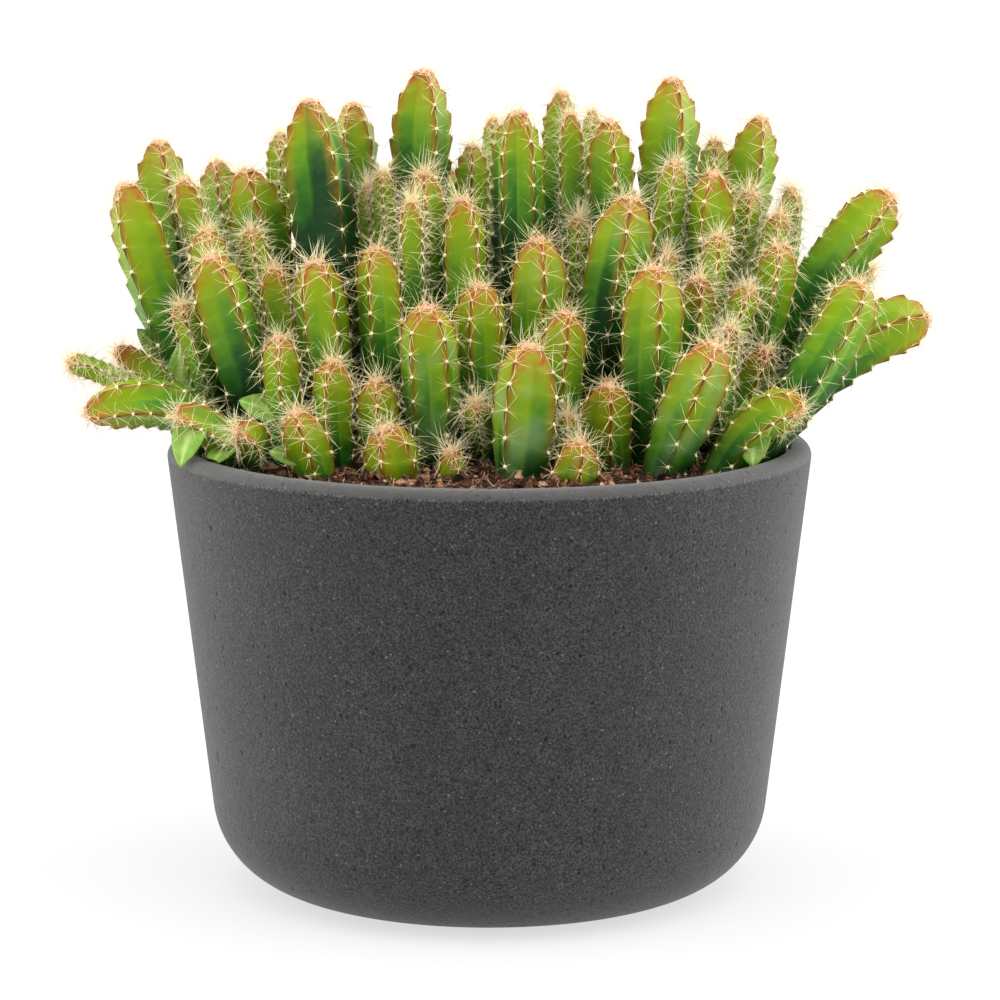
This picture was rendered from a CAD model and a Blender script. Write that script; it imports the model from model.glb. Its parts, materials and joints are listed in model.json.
# Potted dragon fruit cactus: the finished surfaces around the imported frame.
# A crowd of ribbed seedlings with spines and woolly tops stands in coco peat in a cast fibre-cement pot.
import json
import math
import time
from collections import namedtuple

import bpy
import numpy as np
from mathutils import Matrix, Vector, noise

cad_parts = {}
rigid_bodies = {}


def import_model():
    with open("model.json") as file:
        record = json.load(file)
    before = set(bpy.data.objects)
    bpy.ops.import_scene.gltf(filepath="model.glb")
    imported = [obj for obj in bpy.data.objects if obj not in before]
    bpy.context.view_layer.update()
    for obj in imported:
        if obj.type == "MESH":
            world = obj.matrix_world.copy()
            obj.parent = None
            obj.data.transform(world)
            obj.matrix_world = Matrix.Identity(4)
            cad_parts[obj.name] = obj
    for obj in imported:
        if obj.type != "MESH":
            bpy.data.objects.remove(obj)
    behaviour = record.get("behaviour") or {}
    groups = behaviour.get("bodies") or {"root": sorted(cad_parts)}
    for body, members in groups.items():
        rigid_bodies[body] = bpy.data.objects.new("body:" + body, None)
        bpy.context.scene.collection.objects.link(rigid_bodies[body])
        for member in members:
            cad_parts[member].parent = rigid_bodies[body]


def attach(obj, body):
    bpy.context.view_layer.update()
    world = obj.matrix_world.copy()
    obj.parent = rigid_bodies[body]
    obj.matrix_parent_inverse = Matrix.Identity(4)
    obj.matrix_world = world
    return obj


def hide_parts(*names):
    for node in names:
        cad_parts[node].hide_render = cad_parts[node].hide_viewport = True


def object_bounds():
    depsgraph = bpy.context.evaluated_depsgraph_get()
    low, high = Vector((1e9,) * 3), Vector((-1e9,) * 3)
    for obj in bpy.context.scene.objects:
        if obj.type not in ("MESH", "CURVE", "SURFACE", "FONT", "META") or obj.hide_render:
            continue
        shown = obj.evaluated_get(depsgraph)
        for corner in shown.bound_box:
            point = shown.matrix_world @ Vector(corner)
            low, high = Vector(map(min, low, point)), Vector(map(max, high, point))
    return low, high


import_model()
cadLow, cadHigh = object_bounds()  # the CAD box: nothing may stand outside it
startTime = time.time()
mm = 0.001
asColour = {"out": 2, "data_type": "RGBA"}  # settings of a Mix node whose sockets 6 and 7 are its two colours
corners = (0, 2.0944, 4.1888)  # the angles of a three-sided needle or strand, in radians
needlePoints, plainPoints, strandPoints, cushionPoints = 7, 4, 12, 13  # points in one small form of each kind


def report(stage):
    print(f"{stage}: {time.time() - startTime:.1f} s")


# Small helpers for colours, materials and meshes

def linear(hexColour):  # sRGB hex to linear light, with alpha
    parts = [int(hexColour[i:i + 2], 16) / 255 for i in (1, 3, 5)]
    return tuple(c / 12.92 if c <= 0.04045 else ((c + 0.055) / 1.055) ** 2.4 for c in parts) + (1.0,)


# one node with its settings and links; sockets go by place in a tuple or by name in a dictionary; gives its output
def addNode(tree, kind, sockets=(), out=0, **settings):
    node = tree.nodes.new("ShaderNode" + kind)
    for name, value in settings.items():
        setattr(node, name, value)
    for name, value in sockets.items() if isinstance(sockets, dict) else enumerate(sockets):
        if isinstance(value, bpy.types.NodeSocket):
            tree.links.new(value, node.inputs[name])
        else:
            node.inputs[name].default_value = value
    return node.outputs[out]


def startMaterial(name, **values):
    made = bpy.data.materials.new(name)
    made.use_nodes = True
    tree = made.node_tree
    shader = tree.nodes["Principled BSDF"]
    for socket, value in values.items():
        shader.inputs[socket.replace("_", " ")].default_value = value
    return made, tree, shader


def buildMesh(name, points, faces, material, attributes=None, smooth=True):
    mesh = bpy.data.meshes.new(name)
    mesh.from_pydata(np.asarray(points).tolist(), [], [list(f) for f in faces])
    for label, values in (attributes or {}).items():
        layer = mesh.attributes.new(label, "FLOAT", "POINT")
        layer.data.foreach_set("value", np.asarray(values, np.float32))
    mesh.polygons.foreach_set("use_smooth", [smooth] * len(mesh.polygons))
    mesh.materials.append(material)
    mesh.update()
    made = bpy.data.objects.new(name, mesh)
    bpy.context.scene.collection.objects.link(made)
    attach(made, "root")
    return made


# Where the stems stand: the table and the settling rule of the part, so that each piece lies on its node

crowdValues = {
    "soilTop": 125 * mm, "potTopRadius": 93.3 * mm, "potHeight": 130 * mm, "wallSlope": 0.1153, "wall": 6 * mm,
    "gap": 0.3 * mm, "potSides": 40,
    "footShares": (0.58, 0.86), "short": 30 * mm, "tall": 62 * mm,
    "pegShare": 0.40, "pegMost": 3.4 * mm, "pegLeast": 1.3 * mm,
    "crownLeast": 0.35, "crownLengths": (0.58, 0.76), "crownPowers": (0.25, 0.34), "crownHeights": (55 * mm, 100 * mm),
    "stemGap": 0.8 * mm, "samples": 12, "fineSamples": 36,
    "rounds": 260, "step": 0.55, "pull": 0.01, "pullUntil": 0.7,  # of the relaxation that pushes stems apart
    "freedom": [[0.8, 1, 0], [0.8, 1, 0.6], [0.45, 1, 0.15]],  # of foot, bend and tip along x, y and z
    "offsetLift": 3.2 * mm, "offsetReach": 0.7, "wallMargin": 2 * mm, "rimMargin": 0.4 * mm,
    "farSeed": 11, "farArcs": [(50 * mm, 48, 132, 4, 78 * mm, 6 * mm), (68 * mm, 28, 152, 6, 46 * mm, 17 * mm)],
    "farWidths": (12, 18), "farOffsetWidths": (8, 11),
}
Stem = namedtuple("Stem", "name parent footX footY tipX tipY height width ribs facing arch", defaults=[0.3])
stemTable = [Stem(*row) for row in (  # millimetres; a stem with a parent is an offset fused into it
    ("front_01", None, -48, -40, -54, -44, 19, 13.5, 5, 0),
    ("front_02", None, -26, -42, -29, -47, 15, 17, 5, -24),
    ("front_03", None, -10, -46, -11, -48, 9, 9, 4, 28),
    ("front_04", None, 9, -45, 11, -48, 38, 20.5, 4, -31),
    ("front_05", None, 24, -46, 26, -49, 12, 14.5, 5, 11),
    ("front_06", None, 39, -40, 37, -42, 26, 15, 4, 8),
    ("front_07", None, 45, -38, 62, -44, 38, 17, 5, 0, 0.1),
    ("front_08", None, -65, -25, -88, -32, 17, 11, 4, 0),
    ("front_09", "front_08", -62, -30, -71, -44, 14, 10, 4, 20),
    ("front_10", None, 65, -23, 87, -20, 19, 14, 5, 15, 0.5),
    ("second_01", None, -31, -30, -32, -35, 27, 12, 4, 0),
    ("second_02", None, -42, -28, -43, -33, 32, 12.5, 4, -21),
    ("second_03", None, -58, -22, -60, -26, 38, 11, 4, -5),
    ("second_04", None, -16, -29, -18, -33, 47, 17.5, 5, 36),
    ("second_05", None, 23, -27, 23, -29, 45, 14, 5, 9),
    ("second_06", "second_05", 22, -31, 22, -38, 18, 6, 4, 0),
    ("second_07", None, -2, -18, -3, -20, 52, 16, 5, -25),
    ("second_08", "second_07", -3, -22, -4, -36, 21, 9, 4, 0, 0.5),
    ("second_09", None, 40, -20, 47, -23, 57, 19, 5, 15),
    ("second_10", None, 57, -15, 60, -18, 54, 10.5, 4, 8),
    ("second_11", "second_10", 53, -11, 50, -6, 60, 7, 4, 0),
    ("second_12", None, 73, -17, 80, -22, 33, 10, 4, 10),
    ("second_13", "second_12", 70, -19, 69, -25, 41, 7, 4, -10),
    ("middle_01", None, -70, -18, -79, -21, 60, 17.5, 4, 34, 0.2),
    ("middle_02", None, -58, -7, -63, -8, 56, 12, 4, 40),
    ("middle_03", None, -45, -14, -50, -16, 58, 16, 5, 36),
    ("middle_04", None, -29, -14, -32, -15, 62, 14, 4, -22),
    ("middle_05", None, -8, -4, -9, -5, 75, 14.5, 4, 34),
    ("middle_06", None, 12, -9, 14, -12, 64, 17.5, 5, 12),
    ("middle_07", None, 29, -1, 41, -1, 75, 20, 5, 2, 0.2),
    ("middle_08", None, 61, 1, 63, 2, 82, 14.5, 4, -26),
    ("middle_09", "middle_08", 63, -3, 66, -7, 65, 8, 4, 10),
    ("middle_10", None, 75, -6, 82, -6, 62, 12, 4, -2),
    ("middle_11", "middle_10", 74, -9, 74, -14, 51, 9, 4, 0),
    ("middle_12", "middle_10", 76, -2, 83, 4, 70, 8, 4, 0),
    ("middle_13", None, 65, -9, 103, -12, 52, 17, 5, 17),
    ("middle_14", None, 74, 5, 125, 2, 40, 18, 5, -9),
    ("middle_15", None, -71, -10, -115, -17, 15, 15, 5, -17, 0.2),
    ("middle_16", None, -77, -1, -107, -4, 32, 10, 4, -31),
    ("middle_17", "middle_16", -75, -5, -87, -13, 46, 9, 4, 0),
    ("tall_01", None, -77, 12, -104, 10, 78, 18, 4, -28, -0.3),
    ("tall_02", "tall_01", -77, 9, -121, 8, 27, 7, 4, 20),
    ("tall_03", None, -71, 3, -81, -2, 66, 12, 4, 20, 0.2),
    ("tall_04", "tall_03", -67, 2, -69, 0, 66, 8, 4, 0),
    ("tall_05", None, -66, 19, -73, 18, 81, 18, 5, 10),
    ("tall_06", None, -46, 9, -53, 8, 102, 21.5, 4, 32),
    ("tall_07", None, -19, 2, -19, 2, 82, 12, 5, 0),
    ("tall_08", "tall_07", -21, -2, -22, -8, 75, 9, 4, 45),
    ("tall_09", None, -22, 17, -19, 15, 110, 20, 4, 28),
    ("tall_10", None, 9, 7, 8, 6, 99, 16, 5, 36),
    ("tall_11", None, 35, 12, 35, 11, 96, 14, 4, 10),
    ("tall_12", "tall_11", 31, 10, 27, 7, 69, 6, 4, 0),
    ("tall_13", None, 49, 22, 53, 24, 107, 19, 4, 21),
    ("tall_14", "tall_13", 52, 18, 57, 14, 84, 9, 4, 0),
    ("tall_15", "tall_13", 53, 25, 66, 29, 89, 10, 4, 0),
    ("tall_16", None, 74, 21, 80, 22, 96, 15.5, 4, 16),
    ("tall_17", "tall_16", 74, 17, 76, 6, 76, 8, 4, 0),
    ("tall_18", "tall_16", 77, 19, 86, 16, 76, 9, 4, 30),
    ("tall_19", "tall_16", 77, 23, 112, 24, 52, 7, 4, 0),
    ("tall_20", None, 67, 13, 115, 10, 75, 18.5, 5, 10),
    ("rear_01", None, -75, 26, -95, 21, 89, 16.5, 4, 19, -0.1),
    ("rear_02", "rear_01", -74, 22, -89, 13, 79, 12, 4, 40, 0.1),
    ("rear_03", None, -71, 39, -81, 37, 82, 13, 4, 0),
    ("rear_04", "rear_03", -67, 38, -62, 35, 91, 8, 4, 0),
    ("rear_05", None, -36, 27, -40, 27, 100, 15, 5, -25),
    ("rear_06", "rear_05", -35, 23, -36, 13, 78, 7, 4, 0),
    ("rear_07", "tall_07", -23, 5, -30, 7, 82, 7, 4, 0),
    ("rear_08", None, -5, 27, -5, 27, 88, 10, 4, 0),
    ("rear_09", "rear_08", -3, 30, 1, 41, 95, 6, 4, 0),
    ("rear_10", None, 25, 20, 24, 18, 98, 10, 4, 45),
    ("rear_11", None, 21, 37, 22, 38, 103, 11, 4, 20),
    ("rear_12", "rear_11", 24, 36, 30, 33, 98, 6, 4, 0),
)]


def soilRadius(height):
    v = crowdValues
    wallAt = v["potTopRadius"] - v["wallSlope"] * (v["potHeight"] - height)
    return wallAt - (v["wall"] + v["gap"] / math.cos(math.pi / v["potSides"]))


def farStems():
    v = crowdValues
    rng = np.random.default_rng(v["farSeed"])
    rows = []
    for radius, first, last, count, height, lean in v["farArcs"]:
        for i in range(count):
            bearing = math.radians(first + (last - first) * i / (count - 1) + rng.uniform(-4, 4))
            out = np.array([math.cos(bearing), math.sin(bearing)])
            side = np.array([-out[1], out[0]])
            foot = out * (radius / mm + rng.uniform(-3, 3))
            tip = foot + out * (lean / mm + rng.uniform(-3, 5)) + side * rng.uniform(-5, 5)
            tall = height / mm + rng.uniform(-9, 9)
            name = f"far_{len([r for r in rows if not r.parent]) + 1:02d}"
            rows.append(Stem(name, None, *foot, *tip, tall, rng.uniform(*v["farWidths"]), 4 + i % 2, 31 * i))
            start, end = foot + side * 4, tip + side * rng.uniform(9, 12) + out * rng.uniform(2, 7)
            slim = rng.uniform(*v["farOffsetWidths"])
            rows.append(Stem(f"{name}_offset", name, *start, *end, tall * 0.72, slim, 4, 50 * i))
    return rows


def clubRadius(t, crown, foot, power):  # share of the widest radius along a stem
    t = np.asarray(t, float)
    rise = np.clip(t / min(0.5, crown), 0, 1)
    body = foot + (1 - foot) * rise * rise * (3 - 2 * rise)
    left = np.clip((1 - t) / (1 - crown), 0, 1)
    return body * np.maximum(crowdValues["crownLeast"], left ** power)


def endWeights(t):  # shares of foot, bend and tip
    t = np.asarray(t, float)[:, None]
    return np.concatenate([(1 - t) ** 2, 2 * t * (1 - t), t * t], axis=1)


class Crowd:
    def __init__(self, rows):
        v = crowdValues
        self.rows = rows
        self.index = {row.name: i for i, row in enumerate(rows)}
        self.ends = np.array([self.firstEnds(row) for row in rows])
        self.goal = self.ends.copy()
        self.parent = np.array([self.index.get(row.parent, -1) for row in rows])
        lengths = np.linalg.norm(self.ends[:, 2] - self.ends[:, 0], axis=1)
        widths = np.array([row.width * mm for row in rows])
        heights = [row.height * mm for row in rows]
        shares = np.interp(heights, v["crownHeights"], v["crownLengths"])
        self.crown = [1 - min(0.7, share * w / n) for n, w, share in zip(lengths, widths, shares)]
        self.power = np.interp(heights, v["crownHeights"], v["crownPowers"])
        self.half = widths / 2
        self.foot = [float(np.interp(row.height * mm, [v["short"], v["tall"]], v["footShares"][::-1])) for row in rows]
        self.squeeze = np.ones((len(rows), v["fineSamples"]))
        self.seatOffsets()
        self.held = self.ends[:, 0] - self.ends[self.parent, 0]
        self.bendClear()
        self.squeezeClear()

    @staticmethod
    def firstEnds(row):
        foot = np.array([row.footX * mm, row.footY * mm, crowdValues["soilTop"]])
        tip = np.array([row.tipX * mm, row.tipY * mm, crowdValues["soilTop"] + row.height * mm])
        lean = np.linalg.norm((tip - foot)[:2])
        return foot, (foot + tip) / 2 + np.array([0, 0, row.arch * lean]), tip

    def seatOffsets(self):  # an offset starts inside the foot of its parent, a little above the soil
        v = crowdValues
        for i, parent in enumerate(self.parent):
            if parent < 0:
                continue
            away = self.ends[i, 0, :2] - self.ends[parent, 0, :2]
            away /= np.linalg.norm(away)
            peg = float(np.clip(self.half[parent] * v["pegShare"], v["pegLeast"], v["pegMost"]))
            self.ends[i, 0, :2] = self.ends[parent, 0, :2] + away * peg * v["offsetReach"]
            self.ends[i, 0, 2] = v["soilTop"] + v["offsetLift"]

    def points(self, t):
        return np.einsum("ks,nsc->nkc", endWeights(t), self.ends)

    def radii(self, t):
        shapes = zip(self.half, self.crown, self.foot, self.power)
        return np.array([half * clubRadius(t, *shape) for half, *shape in shapes])

    def ignored(self, t, grownIn):  # pairs of samples that may touch
        owner = np.repeat(np.arange(len(self.rows)), len(t))
        low = np.tile(np.asarray(t) < grownIn, len(self.rows))
        parent = self.parent[owner]
        same = owner[:, None] == owner[None, :]
        family = (parent[:, None] == owner[None, :]) & low[:, None]
        sisters = (parent[:, None] == parent[None, :]) & (parent >= 0)[:, None] & low[:, None] & low[None, :]
        return same | family | family.T | sisters

    def bendClear(self):  # pushes crowded stems apart, and back towards their places
        v = crowdValues
        t = np.linspace(0, 1, v["samples"])
        share, radii = endWeights(t), self.radii(t).ravel()
        need = radii[:, None] + radii[None, :] + v["stemGap"]
        skip = self.ignored(t, 0.3)
        freedom = np.array(v["freedom"])
        for turn in range(v["rounds"]):
            points = self.points(t).reshape(-1, 3)
            size = (points * points).sum(axis=1)
            squared = size[:, None] + size[None, :] - 2 * points @ points.T
            one, other = np.nonzero((squared < need * need) & ~skip)
            apart = points[one] - points[other]
            distance = np.linalg.norm(apart, axis=1) + 1e-9
            push = np.zeros_like(points)
            np.add.at(push, one, apart * (0.5 * (need[one, other] / distance - 1))[:, None])
            push += self.holdOffPot(points, radii)
            push = push.reshape(len(self.rows), v["samples"], 3)
            self.ends += np.einsum("ks,nkc->nsc", share, push) * freedom * v["step"]
            if turn < v["rounds"] * v["pullUntil"]:
                self.ends += (self.goal - self.ends) * v["pull"]
            grown = self.parent >= 0
            self.ends[grown, 0] = (self.ends[self.parent, 0] + self.held)[grown]
            most = soilRadius(v["soilTop"]) - self.half * self.foot - v["wallMargin"]
            reach = np.linalg.norm(self.ends[:, 0, :2], axis=1)
            self.ends[:, 0, :2] *= np.minimum(1, most / np.maximum(reach, 1e-9))[:, None]

    @staticmethod
    def holdOffPot(points, radii):  # keeps a stem off the rim and up off the soil
        v = crowdValues
        reach = np.linalg.norm(points[:, :2], axis=1) + 1e-9
        out = np.stack([points[:, 0] / reach, points[:, 1] / reach, np.zeros(len(points))], axis=1)
        inner, outer = v["potTopRadius"] - v["wall"], v["potTopRadius"]
        near = np.stack([np.clip(reach, inner, outer), np.minimum(points[:, 2], v["potHeight"])], axis=1)
        away = np.stack([reach, points[:, 2]], axis=1) - near
        distance = np.linalg.norm(away, axis=1) + 1e-9
        depth = np.clip(radii + v["stemGap"] + v["rimMargin"] - distance, 0, None)
        push = out * (away[:, 0] / distance * depth)[:, None]
        push[:, 2] += away[:, 1] / distance * depth
        push[(reach > inner) & (reach < outer) & (points[:, 2] <= v["potHeight"])] = [0, 0, 2 * mm]
        return push

    def squeezeClear(self):  # where two stems still press on each other, both get thinner
        count = crowdValues["fineSamples"]
        t = np.linspace(0, 1, count)
        points, radii = self.points(t), self.radii(t)
        flat, flatRadii = points.reshape(-1, 3), radii.ravel()
        skip = self.ignored(t, 0.5)
        for i in range(len(self.rows)):
            mine = slice(i * count, (i + 1) * count)
            distance = np.linalg.norm(flat[mine, None] - flat[None, :], axis=2)
            need = radii[i][:, None] + flatRadii[None, :] + 0.5 * crowdValues["stemGap"]
            depth = np.where(skip[mine], 0, np.clip(need - distance, 0, None)).max(axis=1)
            share = 1 - 0.5 * depth / radii[i]
            self.squeeze[i] = np.minimum(share, np.minimum(np.roll(share, 1), np.roll(share, -1)))

    def length(self, i):
        path = self.points(np.linspace(0, 1, 20))[i]
        return float(np.linalg.norm(np.diff(path, axis=0), axis=1).sum())

    def axisAt(self, i, t):  # points, two side directions, the way ahead and the radius, for an array t of any shape
        foot, bend, tip = self.ends[i]
        u = np.clip(t, 0, 1)[..., None]
        point = (1 - u) ** 2 * foot + 2 * u * (1 - u) * bend + u * u * tip
        point[..., 2] += np.minimum(t, 0) * self.length(i)
        ahead = (1 - u) * (bend - foot) + u * (tip - bend)
        ahead /= np.linalg.norm(ahead, axis=-1, keepdims=True)
        if self.parent[i] < 0:
            ahead = ahead + np.array([0, 0, 3]) * np.clip(1 - u / 0.15, 0, None)
            ahead /= np.linalg.norm(ahead, axis=-1, keepdims=True)
        a, b, c = ahead[..., 0], ahead[..., 1], ahead[..., 2]
        one = np.stack([1 - a * a / (1 + c), -a * b / (1 + c), -a], axis=-1)
        two = np.stack([-a * b / (1 + c), 1 - b * b / (1 + c), -b], axis=-1)
        shares = np.linspace(0, 1, crowdValues["fineSamples"])
        squeeze = np.interp(u[..., 0], shares, self.squeeze[i])
        radius = self.half[i] * clubRadius(u[..., 0], self.crown[i], self.foot[i], self.power[i]) * squeeze
        return point, one, two, ahead, radius


crowd = Crowd(stemTable + farStems())
report("crowd settled")

# Living stem skin: a smooth waxy cuticle over water-filled flesh. The eye sees a soft satin gloss, blue-green at
# the foot, yellow-green above, olive gold under the bronze tip, a thin brown line down each rib and pale wax bloom.

skinValues = {
    "foot": "#153a18", "deep": "#2f651a", "mid": "#59891c", "fresh": "#7a9a10", "gold": "#9c8a10",
    "amber": "#a1661b", "bronze": "#a2571c", "redTip": "#6a1f0e", "line": "#7a4410", "wedge": "#1c0d05",
    "bloom": "#8fae7c",
    "greens": {"deep": (0.0, 0.36), "mid": (0.34, 0.7), "fresh": (0.66, 1.02)},  # where each one takes over
    # where each colour starts and ends, in mm below the tip, and the height of the foot's darker zone
    "greenFrom": 44, "greenTo": 9, "goldFrom": 13, "goldTo": 2, "ribGoldFrom": 30, "ribGoldTo": 7, "bronzeFrom": 5.5,
    "redFrom": 14, "redTo": 2, "lineFrom": 50, "lineTo": 10, "footZone": 12,
    "cloudShift": (-0.17, 0.11), "streakShift": 0.16, "footShift": 0.35, "fraying": 3.5, "ribAmber": 0.55,
    "roughness": 0.42, "ior": 1.43, "specular": 0.22,
    "cloud": 8 * mm, "streak": 2.0 * mm, "patch": 11 * mm, "pores": 0.8 * mm, "poreDepth": 0.04 * mm,
}


def makeSkin():
    v = skinValues
    made, tree, shader = startMaterial(
        "living cactus skin, waxy cuticle", Roughness=v["roughness"], IOR=v["ior"], Specular_IOR_Level=v["specular"])
    crest, fromTip, fromFoot, age, tone, red, line, wedge, bloom = (
        addNode(tree, "Attribute", out="Fac", attribute_name=name)
        for name in ("crest", "fromTip", "fromFoot", "age", "tone", "red", "line", "wedge", "bloom"))
    place = addNode(tree, "TexCoord", out="Object")
    cloud = addNode(tree, "TexNoise", {"Vector": place, "Scale": 1 / v["cloud"], "Detail": 2.0})
    streak = addNode(tree, "TexNoise", {"Vector": place, "Scale": 1 / v["streak"], "Detail": 3.0})
    patch = addNode(tree, "TexNoise", {"Vector": place, "Scale": 1 / v["patch"], "Detail": 1.0})
    pores = addNode(tree, "TexNoise", {"Vector": place, "Scale": 1 / v["pores"], "Detail": 3.0})
    # from blue-green low down over leaf green to yellow-green below the tip
    share = addNode(tree, "MapRange", (cloud, 0.3, 0.7, v["cloudShift"][0], v["cloudShift"][1]))
    share = addNode(tree, "Math", (share, tone), operation="ADD")
    share = addNode(tree, "Math", (streak, v["streakShift"], share), operation="MULTIPLY_ADD")
    height = addNode(tree, "MapRange", (fromTip, v["greenFrom"], v["greenTo"]))
    share = addNode(tree, "Math", (height, share), operation="ADD")
    low = addNode(tree, "MapRange", (fromFoot, v["footZone"], 0.0, 0.0, v["footShift"]))
    share = addNode(tree, "Math", (share, low), operation="SUBTRACT")
    greens = [(addNode(tree, "MapRange", (share, start, end)), name) for name, (start, end) in v["greens"].items()]
    # wax bloom in loose patches on the broad faces
    waxy = addNode(tree, "MapRange", (patch, 0.42, 0.66, 0.0, 0.75))
    waxy = addNode(tree, "Math", (waxy, bloom), operation="MULTIPLY", use_clamp=True)
    # olive gold on the youngest part and far down the ribs, then bronze at the very top; a noise frays the edges
    frayed = addNode(tree, "MapRange", (streak, 0.3, 0.7, -v["fraying"], v["fraying"]))
    frayed = addNode(tree, "Math", (age, frayed), operation="ADD")
    broad = addNode(tree, "MapRange", (crest, 0.1, 0.8, 0.35, 0.9))
    golden = addNode(tree, "MapRange", (frayed, v["goldFrom"], v["goldTo"]))
    golden = addNode(tree, "Math", (golden, broad), operation="MULTIPLY")
    narrow = addNode(tree, "MapRange", (crest, 0.55, 0.95, 0.0, 0.9))
    ribGold = addNode(tree, "MapRange", (frayed, v["ribGoldFrom"], v["ribGoldTo"]))
    ribGold = addNode(tree, "Math", (ribGold, narrow), operation="MULTIPLY")
    golden = addNode(tree, "Math", (golden, ribGold), operation="MAXIMUM")
    ribAmber = addNode(tree, "Math", (ribGold, v["ribAmber"]), operation="MULTIPLY")
    tip = addNode(tree, "MapRange", (frayed, v["bronzeFrom"], 0.0))
    edge = addNode(tree, "MapRange", (crest, 0.0, 0.8, 0.5, 1.0))
    tip = addNode(tree, "Math", (tip, edge), operation="MULTIPLY")
    redZone = addNode(tree, "MapRange", (fromTip, v["redFrom"], v["redTo"]))
    redZone = addNode(tree, "Math", (redZone, red), operation="MULTIPLY")
    # brown line down each rib and a dark wedge under each pad
    lined = addNode(tree, "MapRange", (fromTip, v["lineFrom"], v["lineTo"], 0.25, 0.6))
    lined = addNode(tree, "Math", (lined, line), operation="MULTIPLY")
    wedge = addNode(tree, "Math", (wedge, 0.95), operation="MULTIPLY", use_clamp=True)
    colour = linear(v["foot"])
    for mask, name in (*greens, (waxy, "bloom"), (golden, "gold"), (ribAmber, "amber"), (tip, "bronze"),
                       (redZone, "redTip"), (lined, "line"), (wedge, "wedge")):
        colour = addNode(tree, "Mix", {0: mask, 6: colour, 7: linear(v[name])}, **asColour)
    tree.links.new(colour, shader.inputs["Base Color"])
    bump = addNode(tree, "Bump", {"Height": pores, "Distance": v["poreDepth"], "Strength": 0.5})
    tree.links.new(bump, shader.inputs["Normal"])
    return made


fleshValues = {
    "pitchShare": 0.42, "pitchLeast": 3.4 * mm, "pitchMost": 7.8 * mm, "firstSqueeze": 1.1,
    "root": 3 * mm, "tooth": 1.35 * mm, "toothShare": 0.17, "toothMost": 0.24, "crestRound": 0.2 * mm, "swell": 0.14,
    "hollows": (-0.02, 0.04, 0.085, 0.09),  # of the radius at 0, 0.5, 0.8 and 1 of the stem's length
    "domes": ((0.45, 0.07), (0.8, 0.04)), "peak": 0.09,  # rings of the crown's low dome: how far out and how high
    "slim": 10.5 * mm, "plainRows": ("rear", "far"),
    "levels": (0, 0.07, 0.26, 0.52, 0.8, 0.94), "slimLevels": (0, 0.1, 0.4, 0.74, 0.93),
    "columns": (0, 0.1, 0.32, 0.88, 1, -0.88, -0.32, -0.1), "slimColumns": (0, 0.14, 0.5, 1, -0.5, -0.14),
    "redStems": {"middle_16": 0.85, "second_10": 0.6, "second_13": 0.7, "second_12": 0.55, "middle_17": 0.2},
    "tones": {  # stems that are plainly darker or lighter than the rest
        "tall_06": -0.4, "tall_04": -0.1, "tall_10": -0.24, "tall_09": -0.2, "tall_05": -0.12, "middle_17": -0.1,
        "front_04": 0.12, "second_09": 0.02, "tall_20": 0.2, "tall_01": 0.08, "middle_01": -0.12, "tall_13": 0.08,
        "middle_15": -0.06, "middle_14": 0.1, "second_04": 0.04, "front_07": 0.08, "middle_13": 0.1,
    },
    "bloomStems": {"front_04": 0.6, "second_04": 0.45, "front_07": 0.4, "middle_06": 0.15},
}
# down a rib from one areole to the next: how far the tooth stands out, and how dark the wedge under the pad is
toothPlaces = (0, 0.07, 0.26, 0.52, 0.8, 0.94, 1)
toothHeights = (0.4, 1.0, 0.82, 0.55, 0.15, -0.1, 0.4)
darkHeights = (0.3, 1.0, 0.6, 0.12, 0, 0, 0.3)


def areoleSpacing(x):  # about one pitch each, closer together near the tip
    squeeze = fleshValues["firstSqueeze"]
    return x - squeeze * (1 - np.exp(-x / squeeze))


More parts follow.
